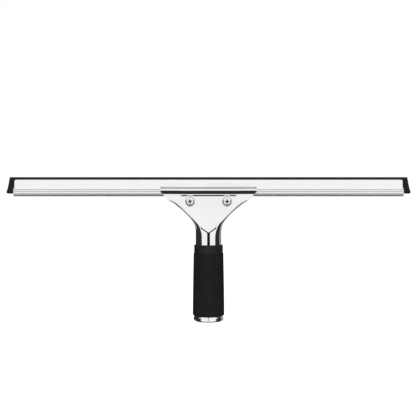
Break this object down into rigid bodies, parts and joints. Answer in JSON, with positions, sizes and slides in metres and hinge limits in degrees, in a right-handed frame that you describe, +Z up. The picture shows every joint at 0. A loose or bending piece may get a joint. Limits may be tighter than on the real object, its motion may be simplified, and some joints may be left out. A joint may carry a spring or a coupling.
{
  "type": "window squeegee",
  "caption": "Window cleaning squeegee with a rubber blade in a steel channel, held by a screw-clamped steel handle with a ribbed rubber grip.",
  "frame": {"origin": "centre of the handle tube's open lower end", "axes": "+X along the channel, +Z up the handle towards the rubber lip, -Y out of the front with the screw heads"},
  "size_m": [0.4596, 0.036, 0.1631],
  "materials": {
    "handle_steel": "polished stainless steel",
    "channel_steel": "satin, drawn lengthwise",
    "screw_steel": "bright plated",
    "spring_steel": "dull, oiled",
    "blade_rubber": "matt",
    "grip_rubber": "matt, ribbed"
  },
  "bodies": {
    "handle": {"handle_shell": "handle_steel", "rubber_grip": "grip_rubber", "weld_nut_left": "screw_steel", "weld_nut_right": "screw_steel"},
    "front_jaw": {"front_jaw_plate": "handle_steel"},
    "left_washer": {"spring_washer_left": "spring_steel"},
    "left_screw": {"clamp_screw_left": "screw_steel"},
    "right_washer": {"spring_washer_right": "spring_steel"},
    "right_screw": {"clamp_screw_right": "screw_steel"},
    "channel": {"channel": "channel_steel"},
    "blade": {"rubber_blade": "blade_rubber", "blade_clip_left": "spring_steel", "blade_clip_right": "spring_steel"}
  },
  "joints": [
    {"name": "left_screw_travel", "type": "slide", "parent": "handle", "child": "left_washer", "axis": [0, -1, 0], "range_m": [0, 0.002]},
    {"name": "left_screw_turn", "type": "hinge", "parent": "left_washer", "child": "left_screw", "pos_m": [-0.0209, 0, 0.1353], "axis": [0, -1, 0], "range_deg": [0, 900]},
    {"name": "right_screw_travel", "type": "slide", "parent": "handle", "child": "right_washer", "axis": [0, -1, 0], "range_m": [0, 0.002]},
    {"name": "right_screw_turn", "type": "hinge", "parent": "right_washer", "child": "right_screw", "pos_m": [0.0209, 0, 0.1353], "axis": [0, -1, 0], "range_deg": [0, 900]},
    {"name": "jaw_open", "type": "hinge", "parent": "handle", "child": "front_jaw", "pos_m": [0, -0.0141, 0.1004], "axis": [1, 0, 0], "range_deg": [0, 3]},
    {"name": "channel_slide", "type": "slide", "parent": "handle", "child": "channel", "axis": [1, 0, 0], "range_m": [-0.16, 0.16]},
    {"name": "blade_slide", "type": "slide", "parent": "channel", "child": "blade", "axis": [1, 0, 0], "range_m": [0, 0.15]}
  ],
  "couplings": [
    {"joint": "left_screw_turn", "follows": "left_screw_travel", "rad_per_m": 7854},
    {"joint": "right_screw_travel", "follows": "left_screw_travel", "ratio": 1},
    {"joint": "right_screw_turn", "follows": "left_screw_travel", "rad_per_m": 7854},
    {"joint": "jaw_open", "follows": "left_screw_travel", "rad_per_m": 26.17}
  ]
}
